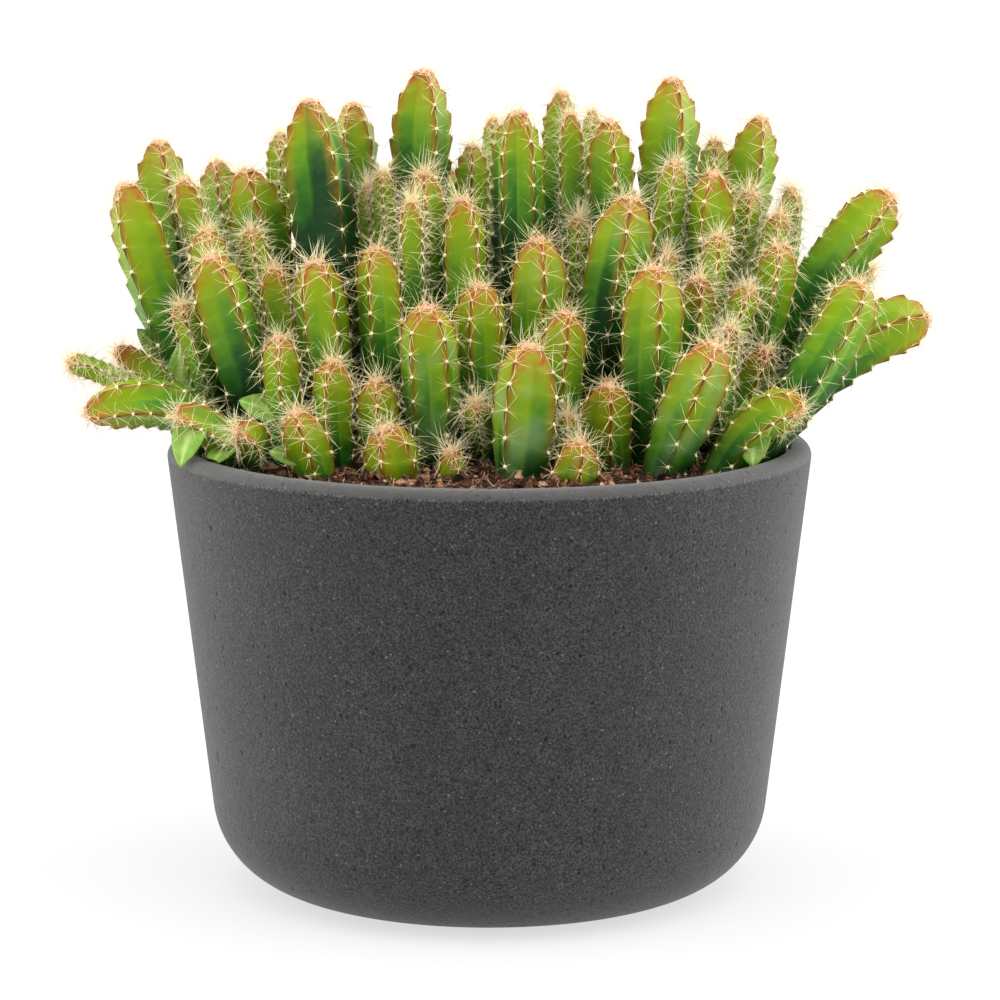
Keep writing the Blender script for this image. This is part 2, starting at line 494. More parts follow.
def stemGrid(i):  # everything that the skin, pads and spines of stem i are placed by
    v = fleshValues
    row, half, length = crowd.rows[i], crowd.half[i], crowd.length(i)
    slim = 2 * half < v["slim"]
    root = 0 if crowd.parent[i] >= 0 else v["root"]
    pitch = float(np.clip(v["pitchShare"] * 2 * half, v["pitchLeast"], v["pitchMost"]))
    steps = max(3, round((length + root) / pitch + v["firstSqueeze"]))
    stretch = (length + root) / areoleSpacing(float(steps))
    plain = slim or row.name.startswith(v["plainRows"])  # fewer rings and columns on slim stems and at the back
    levels = np.array(v["slimLevels" if plain else "levels"])
    columns = np.array(v["slimColumns" if plain else "columns"])
    r = np.append((np.arange(steps)[:, None] + levels[None, :]).ravel(), steps)[:, None]
    across = np.tile(columns, row.ribs)
    perRib = len(columns)
    near = np.repeat(np.arange(row.ribs), perRib) + np.tile(columns < 0, row.ribs)
    sector = near + across / 2
    phases = (np.arange(row.ribs) * (0.4 if row.ribs == 5 else 0.5)) % 1
    phase = np.interp(sector, np.arange(row.ribs + 1), np.append(phases, phases[0]))
    place = r + phase[None, :] * np.clip(np.minimum(r, steps - r), 0, 1)
    fromTip = areoleSpacing(place) * stretch
    t = 1 - fromTip / length
    point, one, two, ahead, radius = crowd.axisAt(i, t)
    tooth = np.minimum(min(v["tooth"], v["toothShare"] * half), v["toothMost"] * radius)
    part = np.abs(across)[None, :]
    flat = 1 - math.cos(math.pi / row.ribs)
    hollow = flat + np.interp(t, [0, 0.5, 0.8, 1], v["hollows"])
    crestReach = radius - 0.5 * tooth
    valley = radius * (1 - hollow)
    beta = math.pi / row.ribs
    alongCrest = (1 - part) * crestReach + part * valley * math.cos(beta)
    aside = part * valley * math.sin(beta)
    alongCrest = alongCrest + v["swell"] * radius * part * (1 - part) - v["crestRound"] * (part == 0)
    fall = np.interp(part, [0, 0.1, 0.32, 0.66, 1], [1, 0.72, 0.2, 0, 0])
    level = np.mod(r, 1.0)
    alongCrest = alongCrest + tooth * fall * np.interp(level, toothPlaces, toothHeights)
    swing = np.sign(across)[None, :] * np.arctan2(aside, alongCrest)
    angle = math.radians(row.facing - 90) + 2 * beta * near[None, :] + swing
    reach = np.hypot(alongCrest, aside)
    way = one * np.cos(angle)[..., None] + two * np.sin(angle)[..., None]
    line = np.interp(part, [0, 0.1, 0.32], [1, 0.12, 0])
    return {
        "points": point + way * reach[..., None], "outward": way, "ahead": ahead, "fromTip": fromTip,
        "length": length, "levels": len(levels), "perRib": perRib, "ribs": row.ribs, "steps": steps, "half": half,
        "crest": np.broadcast_to(1 - part, t.shape), "line": np.broadcast_to(line, t.shape),
        "wedge": np.interp(level, toothPlaces, darkHeights) * np.interp(part, [0, 0.1, 0.32], [1, 0.6, 0]),
        "tip": point[0].mean(axis=0), "tipAhead": ahead[0, 0], "slim": slim,
    }


def copies(pattern, total, step, first=0):  # the same faces again for each small form of so many points
    return [tuple(b + c for c in face) for b in range(first, first + total, step) for face in pattern]


def gridFaces(rows, columns, first):  # quads between closed rings of points
    row, column = np.arange(rows - 1)[:, None] * columns + first, np.arange(columns)[None, :]
    a, b = row + column, row + (column + 1) % columns
    return np.stack([a, b, b + columns, a + columns], axis=-1).reshape(-1, 4)[:, ::-1].tolist()


def fleshParts(grid, first):  # skin from the crown down, with a low dome on the crown
    rows, columns = grid["points"].shape[:2]
    rim, centre = grid["points"][0], grid["tip"]
    domes = [centre + (rim - centre) * share + grid["tipAhead"] * grid["half"] * rise
             for share, rise in fleshValues["domes"]]
    points = np.concatenate([*domes, grid["points"].reshape(-1, 3)])
    faces = gridFaces(rows + 2, columns, first)
    peak = first + len(points)
    faces += [(first + (j + 1) % columns, first + j, peak) for j in range(columns)]
    points = np.concatenate([points, (centre + grid["tipAhead"] * grid["half"] * fleshValues["peak"])[None]])

    def spread(name, fill):
        return np.concatenate([np.full(len(domes) * columns, fill), grid[name].ravel(), [fill]])
    attributes = {
        "crest": spread("crest", 0.6), "line": spread("line", 0), "wedge": spread("wedge", 0),
        "fromTip": spread("fromTip", 0) / mm,
    }
    attributes["fromFoot"] = grid["length"] / mm - attributes["fromTip"]
    attributes["age"] = attributes["fromTip"] * np.clip(math.sqrt(8 * mm / grid["half"]), 0.9, 1.5)
    return points, faces, attributes


def faceTones(grid):  # each side of a rib has a green of its own, so the crease between two ribs shows
    rng = np.random.default_rng(int(grid["half"] * 1e7))
    half = grid["perRib"] // 2
    sides = rng.uniform(0.06, 0.22, 2 * grid["ribs"]) * np.tile([1, -1], grid["ribs"]) * rng.choice([-1, 1])
    tones = np.repeat(sides, half) + 0.1 * (grid["crest"][0] < 0.12)
    return np.concatenate([np.tile(tones, len(grid["points"]) + 2), [0]])


skin = makeSkin()
grids = [stemGrid(i) for i in range(len(crowd.rows))]
stemTone = np.random.default_rng(5).uniform(-0.14, 0.08, len(crowd.rows))
for i, row in enumerate(crowd.rows):
    stemTone[i] = fleshValues["tones"].get(row.name, stemTone[i] + (0.12 if grids[i]["slim"] else 0))
for i, row in enumerate(crowd.rows):
    if row.parent:
        continue
    members = [i, *np.flatnonzero(crowd.parent == i)]
    points, faces, attributes = np.zeros((0, 3)), [], {}
    for j in members:
        morePoints, moreFaces, more = fleshParts(grids[j], len(points))
        more["tone"] = stemTone[j] + faceTones(grids[j])
        for label, chosen in (("red", "redStems"), ("bloom", "bloomStems")):
            more[label] = np.full(len(morePoints), fleshValues[chosen].get(crowd.rows[j].name, 0.0))
        points, faces = np.concatenate([points, morePoints]), faces + moreFaces
        attributes = {k: np.concatenate([attributes.get(k, np.zeros(0)), values]) for k, values in more.items()}
    piece = buildMesh(f"skin_{row.name}", points, faces, skin, attributes)
    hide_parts(f"stem_{row.name}")
report("stem skins")

# Spine: hard keratin-like needle, grown and not polished. It reads as greenish straw low on a stem, cream near the
# tip with a peach base on the youngest ones, and as white hair on the woolly stems.

spineValues = {
    "green": "#d0d56c", "straw": "#f8eb9c", "point": "#fff6c0", "white": "#fff6cc", "young": "#f5b98f",
    "roughness": 0.45, "ior": 1.5,
    "lengths": (7.4 * mm, 9.8 * mm), "slimLengths": (7.2 * mm, 10.0 * mm), "shortest": 0.38,  # on the body, at the tip
    "tipZone": 13 * mm, "lowZone": 13 * mm, "baseRadius": 0.07 * mm, "midShare": 0.86, "bend": 0.06,
    "count": 7, "tipCount": 9, "lowCount": 5, "hairyCount": 4, "centralShare": 0.25, "plainBelow": 0.5,
    "keepOff": 0.2 * mm, "farOff": 75 * mm, "boxMargin": 0.2 * mm, "least": 1.2 * mm, "seed": 21,
    "bristleLength": (5.5 * mm, 12.5 * mm), "bristleRadius": 0.058 * mm, "bristleSpread": 1.9, "bristleShare": 0.72,
    "usualBristles": (10, 22),  # on a stem of its own and on an offset
    "bristles": {  # on the tips where they are thick or nearly missing
        "middle_07": 37, "middle_05": 35, "tall_08": 31, "tall_07": 37, "middle_03": 37, "middle_01": 25,
        "middle_13": 31, "second_09": 21, "second_07": 21, "front_04": 19, "front_07": 19, "front_01": 22,
        "front_02": 29, "front_03": 25, "front_05": 25, "front_09": 25, "front_08": 15, "second_01": 25,
        "second_02": 22, "second_08": 37, "second_11": 31, "rear_03": 50, "rear_04": 37, "rear_06": 37,
        "rear_07": 37, "rear_08": 37, "rear_11": 35, "rear_09": 25, "tall_12": 33, "tall_14": 29, "tall_17": 31,
        "tall_18": 31, "tall_19": 31, "tall_03": 27, "middle_12": 25, "middle_09": 25,
        "tall_06": 3, "tall_09": 3, "tall_13": 5, "tall_01": 5, "tall_05": 8, "tall_16": 12, "tall_20": 8,
        "middle_14": 9, "tall_10": 10, "rear_05": 10, "rear_01": 12, "tall_11": 14,
    },
}


def makeSpineMaterial():
    v = spineValues
    made, tree, shader = startMaterial("cactus spine, hard and matte", Roughness=v["roughness"], IOR=v["ior"])
    along, white, young, low = (
        addNode(tree, "Attribute", out="Fac", attribute_name=name) for name in ("along", "white", "young", "low"))
    base = addNode(tree, "MapRange", (along, 0.9, 0.1))
    base = addNode(tree, "Math", (base, young), operation="MULTIPLY")
    colour = linear(v["straw"])
    for mask, name in ((along, "point"), (low, "green"), (white, "white"), (base, "young")):
        colour = addNode(tree, "Mix", {0: mask, 6: colour, 7: linear(v[name])}, **asColour)
    tree.links.new(colour, shader.inputs["Base Color"])
    return made


def unit(v):
    return v / np.maximum(np.linalg.norm(v, axis=-1, keepdims=True), 1e-9)


def joined(parts):  # lists of columns, one list to each stem, as one long column of each kind
    return [np.concatenate(column) for column in zip(*parts)]


def hairiness(i):  # 0 for a bare stem, 1 for one wrapped in white hairs
    row = crowd.rows[i]
    slim = np.interp(2 * crowd.half[i], [8 * mm, 14 * mm], [1, 0.15])
    return float(max(slim, min(1, spineValues["bristles"].get(row.name, 0) / 60)))


def starsOf(i, rng):  # starts, ways, lengths, radii and three tints of the spines of stem i
    v, grid = spineValues, grids[i]
    hairy = hairiness(i)
    rows = np.arange(grid["steps"]) * grid["levels"]
    ribs = np.arange(grid["ribs"]) * grid["perRib"]
    at = np.ix_(rows, ribs)
    start, out, ahead = grid["points"][at], grid["outward"][at], grid["ahead"][at]
    fromTip, fromFoot = grid["fromTip"][at], grid["length"] - grid["fromTip"][at]
    lift = np.interp(fromTip, [0, 8 * mm], [1.3, 0.4])[..., None]
    normal = unit(out + ahead * lift)
    up = unit(ahead - normal * (ahead * normal).sum(-1, keepdims=True))
    aside = np.cross(up, normal)
    nearTip = np.interp(fromTip, [0.4 * v["tipZone"], v["tipZone"]], [1, 0])
    nearFoot = np.interp(fromFoot, [0.3 * v["lowZone"], v["lowZone"]], [1, 0])
    usual, topmost = v["slimLengths" if grid["slim"] else "lengths"]
    longest = (usual + (topmost - usual) * nearTip) * (1 - 0.35 * nearFoot)
    wanted = v["count"] + (v["tipCount"] - v["count"]) * nearTip + (v["lowCount"] - v["count"]) * nearFoot
    wanted = np.round(wanted + v["hairyCount"] * hairy)
    found = []
    for k in range(int(wanted.max()) + 1):
        shape = start.shape[:2]
        kept = (k < wanted) & (fromFoot > 1.5 * mm)
        around = 2 * math.pi * k / wanted + rng.uniform(-0.5, 0.5, shape)
        rise = rng.uniform(0.03, 0.6, shape)
        if k == wanted.max():  # the central spine stands out
            kept = (fromFoot > 1.5 * mm) & (rng.uniform(0, 1, shape) < v["centralShare"] + 0.4 * hairy)
            rise = rng.uniform(0.8, 1.4, shape)
        way = (np.cos(around)[..., None] * up + np.sin(around)[..., None] * aside) * np.cos(rise)[..., None]
        way = unit(way + np.sin(rise)[..., None] * normal)
        size = longest * (v["shortest"] + (1 - v["shortest"]) * rng.uniform(0, 1, shape) ** 1.1)
        kept = kept.ravel()
        thick = v["baseRadius"] * (0.92 if grid["slim"] else 1) * rng.uniform(0.8, 1.15, shape)
        white = np.clip(hairy * rng.uniform(0.4, 1.3, shape), 0, 1)
        young = np.interp(fromTip, [1 * mm, 8 * mm], [0.5, 0])
        low = np.interp(fromTip, [7 * mm, 24 * mm], [0.1, 0.85]) * (1 - white)
        found.append([a.reshape(-1, a.shape[-1])[kept] if a.ndim == 3 else a.ravel()[kept]
                      for a in (start, way, size, thick, white, young, low)])
    return joined(found)


def bristlesOf(i, rng):  # long fine bristles that burst from the topmost pads round the woolly tip
    v, grid = spineValues, grids[i]
    usual = v["usualBristles"][int(crowd.parent[i] >= 0)]
    count = round(v["bristleShare"] * v["bristles"].get(crowd.rows[i].name, usual))
    ring = grid["points"][0]
    pick = rng.integers(0, len(ring), count)
    share = np.sqrt(rng.uniform(0.2, 1, count))[:, None]
    start = grid["tip"] + (ring[pick] - grid["tip"]) * share + grid["tipAhead"] * 0.2 * mm
    away = unit(ring[pick] - grid["tip"])
    aside = v["bristleSpread"] * share * rng.uniform(0.1, 1.3, (count, 1))
    way = unit(grid["tipAhead"] + away * aside + rng.normal(0, 0.4, (count, 3)))
    size = rng.uniform(*v["bristleLength"], count) * np.interp(crowd.half[i], [3 * mm, 7 * mm], [0.75, 1])
    thick = v["bristleRadius"] * rng.uniform(0.8, 1.2, count)
    return start, way, size, thick, rng.uniform(0.45, 1, count), rng.uniform(0, 0.15, count), np.zeros(count)


def keepOffStems(start, way, size, own):  # shortens what would run into another stem or leave the CAD box
    t = np.linspace(0, 1, crowdValues["fineSamples"])
    others = np.arange(len(crowd.rows)) != own
    near = np.linalg.norm(crowd.ends[:, 2] - crowd.ends[own, 2], axis=1) < spineValues["farOff"]
    points = crowd.points(t)[others & near].reshape(-1, 3)
    radii = crowd.radii(t)[others & near].ravel() * 0.9
    size = size.copy()
    for _ in range(4):
        tips = start + way * size[:, None]
        inside = np.zeros(len(tips), bool)
        if len(points):
            gap = np.sqrt(np.maximum(0, (tips * tips).sum(1)[:, None] + (points * points).sum(1) - 2 * tips @ points.T))
            inside = (gap < radii + spineValues["keepOff"]).any(axis=1)
        margin = spineValues["boxMargin"]
        inside |= (tips < np.array(cadLow) + margin).any(axis=1) | (tips > np.array(cadHigh) - margin).any(axis=1)
        size[inside] *= 0.62
    return size


def needles(start, way, size, thick, plain, rng):
    # three-sided needles as points, faces, each point's needle and its share of the length; a plain one has no bend
    count = len(start)
    side = unit(np.cross(way, rng.normal(0, 1, (count, 3))))
    other = np.cross(way, side)
    ring = np.cos(corners)[None, :, None] * side[:, None] + np.sin(corners)[None, :, None] * other[:, None]
    bend = side * (spineValues["bend"] * size * (size / (6 * mm)) * rng.uniform(-1, 1, count))[:, None]
    middle = start + way * (size * 0.5)[:, None] + bend
    low = start[:, None] + ring * (thick * np.where(plain, 1.12, 1))[:, None, None]
    high = middle[:, None] + ring * (thick * spineValues["midShare"])[:, None, None]
    tip = (start + way * size[:, None])[:, None]
    bent = np.concatenate([low, high, tip], axis=1)[~plain].reshape(-1, 3)
    straight = np.concatenate([low, tip], axis=1)[plain].reshape(-1, 3)
    pattern = ((0, 1, 4, 3), (1, 2, 5, 4), (2, 0, 3, 5), (3, 4, 6), (4, 5, 6), (5, 3, 6))
    faces = copies(pattern, len(bent), needlePoints)
    faces += copies(((0, 1, 3), (1, 2, 3), (2, 0, 3)), len(straight), plainPoints, len(bent))
    owner = [np.repeat(np.nonzero(~plain)[0], needlePoints), np.repeat(np.nonzero(plain)[0], plainPoints)]
    along = [np.tile([0, 0, 0, 0.5, 0.5, 0.5, 1], (~plain).sum()), np.tile([0, 0, 0, 1], plain.sum())]
    return np.concatenate([bent, straight]), faces, np.concatenate(owner), np.concatenate(along)


spineMaterial = makeSpineMaterial()
spineRng = np.random.default_rng(spineValues["seed"])
groups = {}
for i, row in enumerate(crowd.rows):
    own = joined([starsOf(i, spineRng), bristlesOf(i, spineRng)])
    own[2] = keepOffStems(own[0], own[1], own[2], i)
    longEnough = own[2] > spineValues["least"]
    groups.setdefault(row.name.split("_")[0], []).append([column[longEnough] for column in own])
for label, found in groups.items():
    start, way, size, thick, white, young, low = joined(found)
    plain = (low > spineValues["plainBelow"]) | (label in fleshValues["plainRows"])
    points, faces, owner, along = needles(start, way, size, thick, plain, spineRng)
    attributes = {"along": along, "white": white[owner], "young": young[owner], "low": low[owner]}
    buildMesh(f"spines_{label}", points, faces, spineMaterial, attributes)
report("spines")

# Areole felt: dense short wool pressed into a pad, cream when grown and peach while young.
# On the tip it is loose: short curled strands lie tangled over orange-brown buds.

feltValues = {
    "cream": "#f3e2b8", "peach": "#fbbd98", "shade": "#c46b3d", "deep": "#85371a",
    "roughness": 0.9, "sheen": 0.3, "strand": 0.35 * mm, "strandDepth": 0.2 * mm,
    "pad": 0.56 * mm, "slimPad": 0.42 * mm, "padRise": 0.75, "padLift": 0.1 * mm,
    "buds": 5, "budSize": 0.62 * mm, "budRise": 1.1, "budSpread": 0.34, "core": 0.24, "coreRise": 0.55, "strands": 38,
    "strandLength": (1.0 * mm, 2.3 * mm), "strandRadius": 0.13 * mm, "strandSpread": 0.26, "heap": 0.13, "seed": 33,
}


def makeFelt():
    v = feltValues
    made, tree, shader = startMaterial("areole felt, matted wool", Roughness=v["roughness"], Sheen_Weight=v["sheen"])
    young, hollow = (addNode(tree, "Attribute", out="Fac", attribute_name=name) for name in ("young", "hollow"))
    place = addNode(tree, "TexCoord", out="Object")
    fluff = addNode(tree, "TexNoise", {"Vector": place, "Scale": 1 / v["strand"], "Detail": 2.0, "Roughness": 0.6})
    gaps = addNode(tree, "MapRange", (fluff, 0.5, 0.66, 0.0, 0.65))
    gaps = addNode(tree, "Math", (gaps, young), operation="MULTIPLY")
    colour = linear(v["cream"])
    for mask, name in ((young, "peach"), (gaps, "shade"), (hollow, "deep")):
        colour = addNode(tree, "Mix", {0: mask, 6: colour, 7: linear(v[name])}, **asColour)
    tree.links.new(colour, shader.inputs["Base Color"])
    bump = addNode(tree, "Bump", {"Height": fluff, "Distance": v["strandDepth"], "Strength": 0.8})
    tree.links.new(bump, shader.inputs["Normal"])
    return made


def cushions(centre, normal, up, radius, rise):  # six-sided domes, as points and faces
    aside = np.cross(up, normal)
    angles = np.arange(6) * math.pi / 3
    rings = []
    for wide, high in ((1.0, -0.35), (0.78, 0.55)):
        ring = np.cos(angles)[None, :, None] * up[:, None] * 1.15 + np.sin(angles)[None, :, None] * aside[:, None]
        lifted = centre + normal * (radius * high * rise)[:, None]
        rings.append(lifted[:, None] + ring * (radius * wide)[:, None, None])
    top = (centre + normal * (radius * rise)[:, None])[:, None]
    points = np.concatenate([*rings, top], axis=1).reshape(-1, 3)
    pattern = [(6 + k, 6 + (k + 1) % 6, (k + 1) % 6, k) for k in range(6)]
    pattern += [(12, 6 + (k + 1) % 6, 6 + k) for k in range(6)]
    return points, copies(pattern, len(points), cushionPoints)


def curledStrands(start, way, side, size, turn, thick):  # strands bent into an arc, as points and faces
    other = np.cross(way, side)
    rings, place = [], start.copy()
    for k in range(4):
        bent = turn * k / 3
        heading = way * np.cos(bent)[:, None] + side * np.sin(bent)[:, None]
        inward = -way * np.sin(bent)[:, None] + side * np.cos(bent)[:, None]
        if k:
            place = place + heading * (size / 3)[:, None]
        for angle in corners:
            spoke = inward * math.cos(angle) + other * math.sin(angle)
            rings.append(place + spoke * (thick * (1, 0.95, 0.85, 0.5)[k])[:, None])
    points = np.stack(rings, axis=1).reshape(-1, 3)
    pattern = [(k + j, k + (j + 1) % 3, k + 3 + (j + 1) % 3, k + 3 + j) for k in (0, 3, 6) for j in range(3)]
    return points, copies(pattern + [(9, 10, 11)], len(points), strandPoints)


felt = makeFelt()
feltRng = np.random.default_rng(feltValues["seed"])
padParts, budParts, coreParts, strandParts = [], [], [], []
for i, row in enumerate(crowd.rows):
    grid, v = grids[i], feltValues
    at = np.ix_(np.arange(grid["steps"]) * grid["levels"], np.arange(grid["ribs"]) * grid["perRib"])
    out, ahead = grid["outward"][at].reshape(-1, 3), grid["ahead"][at].reshape(-1, 3)
    fromTip = grid["fromTip"][at].ravel()
    normal = unit(out + 0.6 * ahead)
    up = unit(ahead - normal * (ahead * normal).sum(-1, keepdims=True))
    radius = (v["slimPad"] if grid["slim"] else v["pad"]) * feltRng.uniform(0.85, 1.15, len(out))
    radius = radius * np.interp(fromTip, [0, 6 * mm], [0.75, 1])
    kept = grid["length"] - fromTip > 1.0 * mm
    centre = grid["points"][at].reshape(-1, 3) + out * v["padLift"]
    padParts.append([a[kept] for a in (centre, normal, up, radius, np.interp(fromTip, [3 * mm, 9 * mm], [0.75, 0]))])
    # the tangle on the tip: buds below, strands above
    half, top, ahead, ring = crowd.half[i], grid["tip"], grid["tipAhead"], grid["points"][0]
    wide = np.interp(half, [3 * mm, 9 * mm], [0.7, 1.1])

    def overTip(count, reach):
        spoke = unit(ring[feltRng.integers(0, len(ring), count)] - top)
        return spoke, top + spoke * (half * reach * np.sqrt(feltRng.uniform(0, 1, count)))[:, None]
    spoke, place = overTip(v["buds"], v["budSpread"])
    normal = unit(ahead + 0.7 * spoke)
    side = unit(np.cross(normal, feltRng.normal(0, 1, normal.shape)))
    budSize = v["budSize"] * wide * feltRng.uniform(0.7, 1.1, len(place))
    budParts.append((place + ahead * 0.02 * half, normal, side, budSize))
    coreParts.append((top[None], ahead[None], side[:1], np.array([v["core"] * half])))
    count = round(v["strands"] * np.interp(half, [3 * mm, 9 * mm], [0.6, 1.2]))
    spoke, place = overTip(count, v["strandSpread"])
    way = feltRng.normal(0, 1, (count, 3))
    way = unit(way - ahead * (way @ ahead)[:, None] * 0.75 - spoke * 0.5)
    side = unit(np.cross(way, unit(feltRng.normal(0, 0.5, (count, 3)) + ahead)))
    middle = 1 - np.linalg.norm(place - top, axis=1) / (v["strandSpread"] * half)  # heaped up in the middle
    lifted = place + ahead * ((0.05 + v["heap"] * middle * feltRng.uniform(0.6, 1.3, count)) * half)[:, None]
    strandParts.append((lifted, way, side, feltRng.uniform(*v["strandLength"], count) * wide,
                        feltRng.uniform(0.6, 2.6, count), v["strandRadius"] * feltRng.uniform(0.7, 1.1, count)))
centre, normal, up, radius, young = joined(padParts)
points, faces = cushions(centre, normal, up, radius, feltValues["padRise"])
attributes = {"young": np.repeat(young, cushionPoints), "hollow": np.zeros(len(points))}
buildMesh("areole_pads", points, faces, felt, attributes)
for name, parts, rise, (low, high, top) in (
        ("tip_buds", budParts, feltValues["budRise"], (0.9, 0.55, 0.25)),
        ("tip_cushions", coreParts, feltValues["coreRise"], (0.6, 0.12, 0.0))):
    centre, normal, side, radius = joined(parts)
    side = unit(side - normal * (side * normal).sum(-1, keepdims=True))
    points, faces = cushions(centre, normal, side, radius, rise)
    attributes = {"young": np.ones(len(points)), "hollow": np.tile([low] * 6 + [high] * 6 + [top], len(radius))}
    buildMesh(name, points, faces, felt, attributes)
start, way, side, size, turn, thick = joined(strandParts)
points, faces = curledStrands(start, way, side, size, turn, thick)
young = np.repeat(feltRng.uniform(0.1, 1, len(start)), strandPoints)
attributes = {"young": young, "hollow": np.tile([0.12] * 3 + [0.0] * 9, len(start))}
buildMesh("tip_wool", points, faces, felt, attributes)
report("felt and wool")

# Seed leaf: thick juicy blade with a smooth cuticle. It reads as a soft gloss with a paler midrib.

leafValues = {
    "green": "#6f962c", "pale": "#a9c56c", "roughness": 0.36, "ior": 1.42, "subsurface": 0.08, "softness": 1 * mm,
    "cloud": 3 * mm, "grain": 0.7 * mm, "grainDepth": 0.05 * mm,
    "thickness": 1.5 * mm, "along": 16, "across": 10, "crease": 0.16, "overSoil": 0.4 * mm, "fullness": 1.3,
}
Leaf = namedtuple("Leaf", "stem share bearing length width rise roll")
leafTable = [Leaf(*row) for row in (  # millimetres and degrees
    ("front_08", 0.76, 250, 10, 8, -12, 0),
    ("front_08", 0.30, 250, 13, 6, -4, 0),
    ("front_01", 0.32, 184, 12, 6, 1, -50),
    ("front_10", 0.42, 270, 6, 8, -11, 0),
    ("front_10", 0.25, 60, 5, 6, 12, 0),
    ("middle_16", 0.36, 262, 4, 9, 19, 0),
    ("tall_01", 0.40, 186, 13, 7, 9, -60),
    ("second_03", 0.44, 190, 13, 7, 3, -55),
    ("far_05", 0.20, 20, 15, 8, 3, 30),
    ("far_07", 0.30, 70, 14, 7, -2, 20),
    ("far_10", 0.20, 75, 13, 8, 3, -20),
)]


def makeLeafMaterial():
    v = leafValues
    made, tree, shader = startMaterial(
        "seed leaf, smooth cuticle", Roughness=v["roughness"], IOR=v["ior"], Subsurface_Weight=v["subsurface"])
    shader.inputs["Subsurface Scale"].default_value = v["softness"]
    midrib = addNode(tree, "Attribute", out="Fac", attribute_name="midrib")
    place = addNode(tree, "TexCoord", out="Object")
    cloud = addNode(tree, "TexNoise", {"Vector": place, "Scale": 1 / v["cloud"], "Detail": 3.0})
    grain = addNode(tree, "TexNoise", {"Vector": place, "Scale": 1 / v["grain"], "Detail": 2.0})
    share = addNode(tree, "MapRange", (cloud, 0.35, 0.65, -0.15, 0.25))
    share = addNode(tree, "Math", (share, midrib), operation="ADD", use_clamp=True)
    colour = addNode(tree, "Mix", {0: share, 6: linear(v["green"]), 7: linear(v["pale"])}, **asColour)
    tree.links.new(colour, shader.inputs["Base Color"])
    bump = addNode(tree, "Bump", {"Height": grain, "Distance": v["grainDepth"], "Strength": 0.4})
    tree.links.new(bump, shader.inputs["Normal"])
    return made


def offRim(point):  # as in the part: over the rim or outside the wall
    v = crowdValues
    reach = math.hypot(point.x, point.y)
    inner, outer = v["potTopRadius"] - v["wall"] - 2 * v["gap"], v["potTopRadius"] + 2 * v["gap"]
    if not inner < reach < outer or point.z > v["potHeight"] + 2 * v["gap"]:
        return point
    if reach > (inner + outer) / 2:
        return Vector((point.x * outer / reach, point.y * outer / reach, point.z))
    return Vector((point.x, point.y, v["potHeight"] + 2 * v["gap"]))


def leafParts(leaf):
    v = leafValues
    root = Vector(crowd.axisAt(crowd.index[leaf.stem], np.array(leaf.share))[0])
    length, width, rise = leaf.length * mm, leaf.width * mm, leaf.rise * mm
    bearing = math.radians(leaf.bearing)
    out = Vector((math.cos(bearing), math.sin(bearing), 0))
    level = Vector((-out.y, out.x, 0))
    roll = math.radians(leaf.roll)
    points, ribs = [], []
    for i in range(v["along"] + 1):
        along = i / v["along"]
        ahead = (out * length + Vector((0, 0, 1.5 * rise * math.sqrt(along)))).normalized()
        middle = root + out * length * along + Vector((0, 0, rise * along**1.5))
        half = v["fullness"] * width / 2 * math.sin(math.pi * min(1, 0.05 + 0.95 * along ** 0.8)) ** 0.7
        upward = ahead.cross(level)
        side, up = level * math.cos(roll) + upward * math.sin(roll), upward * math.cos(roll) - level * math.sin(roll)
        for j in range(2 * v["across"]):
            turn = math.pi * j / v["across"]
            across, height = math.cos(turn), math.sin(turn)
            thick = v["thickness"] / 2 * height * (1 - 0.35 * along) * min(1, 5 * half / width)
            crease = -v["crease"] * half * (1 - abs(across)) * (1 if height > 0 else 0.6)
            place = middle + side * half * across + up * (thick + crease)
            place.z = max(place.z, crowdValues["soilTop"] + v["overSoil"])
            points.append(offRim(place))
            ribs.append(math.exp(-abs(across) * 9))
    columns = 2 * v["across"]
    faces = gridFaces(v["along"] + 1, columns, 0)
    faces += [tuple(range(columns))[::-1], tuple(range(v["along"] * columns, (v["along"] + 1) * columns))]
    return np.array(points), faces, ribs


leafMaterial = makeLeafMaterial()
allPoints, allFaces, allRibs = [], [], []
for leaf in leafTable:
    points, faces, ribs = leafParts(leaf)
    allFaces += [tuple(c + len(allPoints) for c in face) for face in faces]
    allPoints += points.tolist()
    allRibs += ribs
buildMesh("seed_leaves", allPoints, allFaces, leafMaterial, {"midrib": allRibs})
report("seed leaves")

# Coco peat: ground coconut husk, pressed in by hand. The eye sees dark damp crumbs with paler dry fibres.

peatValues = {
    "damp": "#120a06", "brown": "#6c4733", "dry": "#c99d7b", "fibre": "#d2a982", "roughness": 0.95,
    "grain": 0.9 * mm, "dust": 0.5 * mm, "dustDepth": 0.4 * mm,
    "rings": 46, "spokes": 184, "relief": 1.5 * mm, "bump": 4 * mm, "lift": 0.3 * mm, "mound": 1.4 * mm,
    "moundReach": 80 * mm, "overWall": 0.15 * mm, "patch": 3 * mm, "wallMargin": 0.2 * mm, "stemMargin": 0.5 * mm,
    "crumbs": 1650, "crumbSizes": (0.5 * mm, 2.2 * mm), "fibres": 1100, "fibreLength": (1.5 * mm, 5 * mm),
    "fibreRadius": (0.1 * mm, 0.24 * mm), "seed": 8,
}


